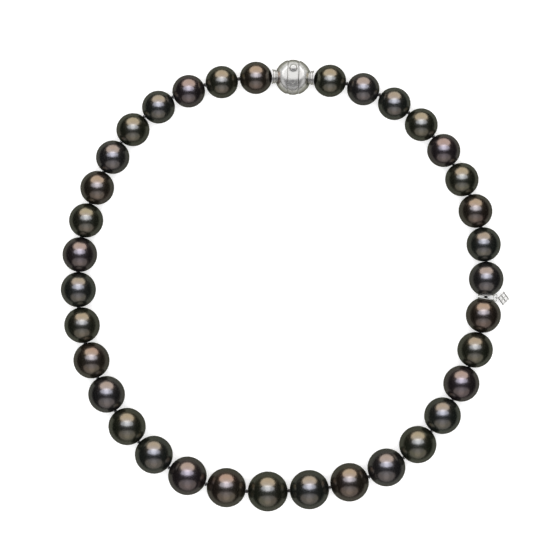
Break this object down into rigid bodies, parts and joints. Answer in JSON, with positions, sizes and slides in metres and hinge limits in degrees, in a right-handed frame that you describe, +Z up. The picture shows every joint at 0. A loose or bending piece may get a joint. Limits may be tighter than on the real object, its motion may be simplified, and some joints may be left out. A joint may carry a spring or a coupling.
{
  "type": "pearl necklace",
  "caption": "Graduated strand of black pearls knotted on silk, closed in a loop by a push-button ball clasp, with a small openwork lattice drop on two rings.",
  "frame": {"origin": "middle of the closed loop, on the table that the strand lies on", "axes": "+Z up from the table; +Y from the middle of the loop towards the clasp; +X towards the side with the drop"},
  "size_m": [0.1575, 0.1581, 0.014],
  "materials": {
    "nacre_peacock": "lustrous, smooth nacre with a soft orient",
    "nacre_aubergine": "lustrous, smooth nacre with a soft orient",
    "nacre_green": "lustrous, smooth nacre with a soft orient",
    "nacre_grey": "lustrous, smooth nacre with a soft orient",
    "nacre_bronze": "lustrous, smooth nacre with a soft orient",
    "white_gold": "polished, rhodium plated",
    "spring_steel": "drawn wire",
    "silk": "twisted black silk"
  },
  "bodies": {
    "clasp_ball": {"ball_end_cap": "white_gold", "ball_band": "white_gold", "tongue_housing": "white_gold", "button_guide": "white_gold", "button_spring": "spring_steel", "collar_left": "white_gold", "silk_thread": "silk"},
    "button": {"push_button": "white_gold", "button_retainer": "white_gold"},
    "tongue": {"tongue_cap": "white_gold", "tongue_base": "white_gold", "tongue_rivets": "white_gold", "collar_right": "white_gold"},
    "tongue_leaf": {"tongue_leaf": "white_gold"},
    "charm_link": {"charm_link": "white_gold"},
    "charm_drop": {"charm_drop": "white_gold"},
    "pearl_01": {"pearl_01": "nacre_green"},
    "pearl_02": {"pearl_02": "nacre_grey"},
    "pearl_03": {"pearl_03": "nacre_peacock"},
    "pearl_04": {"pearl_04": "nacre_green"},
    "pearl_05": {"pearl_05": "nacre_aubergine"},
    "pearl_06": {"pearl_06": "nacre_green"},
    "pearl_07": {"pearl_07": "nacre_bronze"},
    "pearl_08": {"pearl_08": "nacre_peacock"},
    "pearl_09": {"pearl_09": "nacre_grey", "charm_ring_upper": "white_gold"},
    "pearl_10": {"pearl_10": "nacre_bronze", "charm_ring_lower": "white_gold"},
    "pearl_11": {"pearl_11": "nacre_green"},
    "pearl_12": {"pearl_12": "nacre_aubergine"},
    "pearl_13": {"pearl_13": "nacre_peacock"},
    "pearl_14": {"pearl_14": "nacre_green"},
    "pearl_15": {"pearl_15": "nacre_grey"},
    "pearl_16": {"pearl_16": "nacre_bronze"},
    "pearl_17": {"pearl_17": "nacre_peacock"},
    "pearl_18": {"pearl_18": "nacre_green"},
    "pearl_19": {"pearl_19": "nacre_bronze"},
    "pearl_20": {"pearl_20": "nacre_aubergine"},
    "pearl_21": {"pearl_21": "nacre_peacock"},
    "pearl_22": {"pearl_22": "nacre_green"},
    "pearl_23": {"pearl_23": "nacre_grey"},
    "pearl_24": {"pearl_24": "nacre_bronze"},
    "pearl_25": {"pearl_25": "nacre_green"},
    "pearl_26": {"pearl_26": "nacre_peacock"},
    "pearl_27": {"pearl_27": "nacre_aubergine"},
    "pearl_28": {"pearl_28": "nacre_green"},
    "pearl_29": {"pearl_29": "nacre_bronze"},
    "pearl_30": {"pearl_30": "nacre_grey"},
    "pearl_31": {"pearl_31": "nacre_green"},
    "pearl_32": {"pearl_32": "nacre_peacock"},
    "pearl_33": {"pearl_33": "nacre_aubergine"},
    "pearl_34": {"pearl_34": "nacre_green"},
    "pearl_35": {"pearl_35": "nacre_bronze"}
  },
  "joints": [
    {"name": "clasp_slide", "type": "slide", "parent": "clasp_ball", "child": "tongue", "axis": [0.9994, -0.0349, 0], "range_m": [0, 0.007]},
    {"name": "button_press", "type": "slide", "parent": "clasp_ball", "child": "button", "axis": [-0.0167, -0.4769, -0.8788], "range_m": [0, 0.0005], "stiffness_N_per_m": 600, "springref_m": -0.0002, "deforming": ["button_spring"]},
    {"name": "leaf_flex", "type": "hinge", "parent": "tongue", "child": "tongue_leaf", "pos_m": [0.0012, 0.07206, 0.00592], "axis": [0.0307, 0.8783, -0.4772], "range_deg": [0, 9.1]},
    {"name": "knot_01", "type": "hinge", "parent": "tongue", "child": "pearl_01", "pos_m": [0.01127, 0.07191, 0.00568], "axis": [0, 0, 1], "range_deg": [0, 15]},
    {"name": "knot_02", "type": "hinge", "parent": "pearl_01", "child": "pearl_02", "pos_m": [0.02305, 0.06997, 0.00568], "axis": [0, 0, 1], "range_deg": [0, 15]},
    {"name": "knot_03", "type": "hinge", "parent": "pearl_02", "child": "pearl_03", "pos_m": [0.03446, 0.06609, 0.0057], "axis": [0, 0, 1], "range_deg": [0, 15]},
    {"name": "knot_04", "type": "hinge", "parent": "pearl_03", "child": "pearl_04", "pos_m": [0.04472, 0.05978, 0.00574], "axis": [0, 0, 1], "range_deg": [0, 15]},
    {"name": "knot_05", "type": "hinge", "parent": "pearl_04", "child": "pearl_05", "pos_m": [0.05338, 0.05142, 0.00578], "axis": [0, 0, 1], "range_deg": [0, 15]},
    {"name": "knot_06", "type": "hinge", "parent": "pearl_05", "child": "pearl_06", "pos_m": [0.06047, 0.04172, 0.00583], "axis": [0, 0, 1], "range_deg": [0, 15]},
    {"name": "knot_07", "type": "hinge", "parent": "pearl_06", "child": "pearl_07", "pos_m": [0.06609, 0.03109, 0.00589], "axis": [0, 0, 1], "range_deg": [0, 15]},
    {"name": "knot_08", "type": "hinge", "parent": "pearl_07", "child": "pearl_08", "pos_m": [0.06998, 0.01967, 0.00596], "axis": [0, 0, 1], "range_deg": [0, 15]},
    {"name": "knot_09", "type": "hinge", "parent": "pearl_08", "child": "pearl_09", "pos_m": [0.07182, 0.00768, 0.00603], "axis": [0, 0, 1], "range_deg": [0, 15]},
    {"name": "knot_10", "type": "hinge", "parent": "pearl_09", "child": "pearl_10", "pos_m": [0.07177, -0.00478, 0.00611], "axis": [0, 0, 1], "range_deg": [0, 2.5]},
    {"name": "knot_11", "type": "hinge", "parent": "pearl_10", "child": "pearl_11", "pos_m": [0.06985, -0.01726, 0.0062], "axis": [0, 0, 1], "range_deg": [0, 15]},
    {"name": "knot_12", "type": "hinge", "parent": "pearl_11", "child": "pearl_12", "pos_m": [0.06591, -0.02929, 0.00629], "axis": [0, 0, 1], "range_deg": [0, 15]},
    {"name": "knot_13", "type": "hinge", "parent": "pearl_12", "child": "pearl_13", "pos_m": [0.0602, -0.04088, 0.00638], "axis": [0, 0, 1], "range_deg": [0, 15]},
    {"name": "knot_14", "type": "hinge", "parent": "pearl_13", "child": "pearl_14", "pos_m": [0.0527, -0.05176, 0.00649], "axis": [0, 0, 1], "range_deg": [0, 15]},
    {"name": "knot_15", "type": "hinge", "parent": "pearl_14", "child": "pearl_15", "pos_m": [0.04289, -0.06109, 0.00659], "axis": [0, 0, 1], "range_deg": [0, 15]},
    {"name": "knot_16", "type": "hinge", "parent": "pearl_15", "child": "pearl_16", "pos_m": [0.03073, -0.06774, 0.0067], "axis": [0, 0, 1], "range_deg": [0, 15]},
    {"name": "knot_17", "type": "hinge", "parent": "pearl_16", "child": "pearl_17", "pos_m": [0.01705, -0.07144, 0.00682], "axis": [0, 0, 1], "range_deg": [0, 15]},
    {"name": "knot_36", "type": "hinge", "parent": "clasp_ball", "child": "pearl_35", "pos_m": [-0.00296, 0.07241, 0.00568], "axis": [0, 0, -1], "range_deg": [0, 15], "deforming": ["silk_thread"]},
    {"name": "knot_35", "type": "hinge", "parent": "pearl_35", "child": "pearl_34", "pos_m": [-0.01486, 0.07157, 0.00568], "axis": [0, 0, -1], "range_deg": [0, 15]},
    {"name": "knot_34", "type": "hinge", "parent": "pearl_34", "child": "pearl_33", "pos_m": [-0.02673, 0.06946, 0.0057], "axis": [0, 0, -1], "range_deg": [0, 15]},
    {"name": "knot_33", "type": "hinge", "parent": "pearl_33", "child": "pearl_32", "pos_m": [-0.03799, 0.06517, 0.00574], "axis": [0, 0, -1], "range_deg": [0, 15]},
    {"name": "knot_32", "type": "hinge", "parent": "pearl_32", "child": "pearl_31", "pos_m": [-0.04789, 0.05834, 0.00578], "axis": [0, 0, -1], "range_deg": [0, 15]},
    {"name": "knot_31", "type": "hinge", "parent": "pearl_31", "child": "pearl_30", "pos_m": [-0.05589, 0.04937, 0.00583], "axis": [0, 0, -1], "range_deg": [0, 15]},
    {"name": "knot_30", "type": "hinge", "parent": "pearl_30", "child": "pearl_29", "pos_m": [-0.06208, 0.03906, 0.00589], "axis": [0, 0, -1], "range_deg": [0, 15]},
    {"name": "knot_29", "type": "hinge", "parent": "pearl_29", "child": "pearl_28", "pos_m": [-0.06674, 0.02794, 0.00596], "axis": [0, 0, -1], "range_deg": [0, 15]},
    {"name": "knot_28", "type": "hinge", "parent": "pearl_28", "child": "pearl_27", "pos_m": [-0.06984, 0.0162, 0.00603], "axis": [0, 0, -1], "range_deg": [0, 15]},
    {"name": "knot_27", "type": "hinge", "parent": "pearl_27", "child": "pearl_26", "pos_m": [-0.07116, 0.00402, 0.00611], "axis": [0, 0, -1], "range_deg": [0, 15]},
    {"name": "knot_26", "type": "hinge", "parent": "pearl_26", "child": "pearl_25", "pos_m": [-0.07084, -0.00841, 0.0062], "axis": [0, 0, -1], "range_deg": [0, 15]},
    {"name": "knot_25", "type": "hinge", "parent": "pearl_25", "child": "pearl_24", "pos_m": [-0.06859, -0.02087, 0.00629], "axis": [0, 0, -1], "range_deg": [0, 15]},
    {"name": "knot_24", "type": "hinge", "parent": "pearl_24", "child": "pearl_23", "pos_m": [-0.06421, -0.03303, 0.00638], "axis": [0, 0, -1], "range_deg": [0, 15]},
    {"name": "knot_23", "type": "hinge", "parent": "pearl_23", "child": "pearl_22", "pos_m": [-0.05797, -0.04469, 0.00649], "axis": [0, 0, -1], "range_deg": [0, 15]},
    {"name": "knot_22", "type": "hinge", "parent": "pearl_22", "child": "pearl_21", "pos_m": [-0.04983, -0.05549, 0.00659], "axis": [0, 0, -1], "range_deg": [0, 15]},
    {"name": "knot_21", "type": "hinge", "parent": "pearl_21", "child": "pearl_20", "pos_m": [-0.03924, -0.06443, 0.0067], "axis": [0, 0, -1], "range_deg": [0, 15]},
    {"name": "knot_20", "type": "hinge", "parent": "pearl_20", "child": "pearl_19", "pos_m": [-0.02631, -0.07023, 0.00682], "axis": [0, 0, -1], "range_deg": [0, 15]},
    {"name": "knot_19", "type": "hinge", "parent": "pearl_19", "child": "pearl_18", "pos_m": [-0.01206, -0.0727, 0.00694], "axis": [0, 0, -1], "range_deg": [0, 15]},
    {"name": "charm_link_swing", "type": "hinge", "parent": "pearl_09", "child": "charm_link", "pos_m": [0.07447, -0.00499, 0.00422], "axis": [-0.0781, -0.9969, 0.0066], "range_deg": [0, 60]},
    {"name": "charm_drop_swing", "type": "hinge", "parent": "charm_link", "child": "charm_drop", "pos_m": [0.07569, -0.00508, 0.00336], "axis": [-0.0781, -0.9969, 0.0066], "range_deg": [0, 40]}
  ],
  "couplings": [
    {"joint": "leaf_flex", "follows": "button_press", "rad_per_m": 314.16}
  ]
}
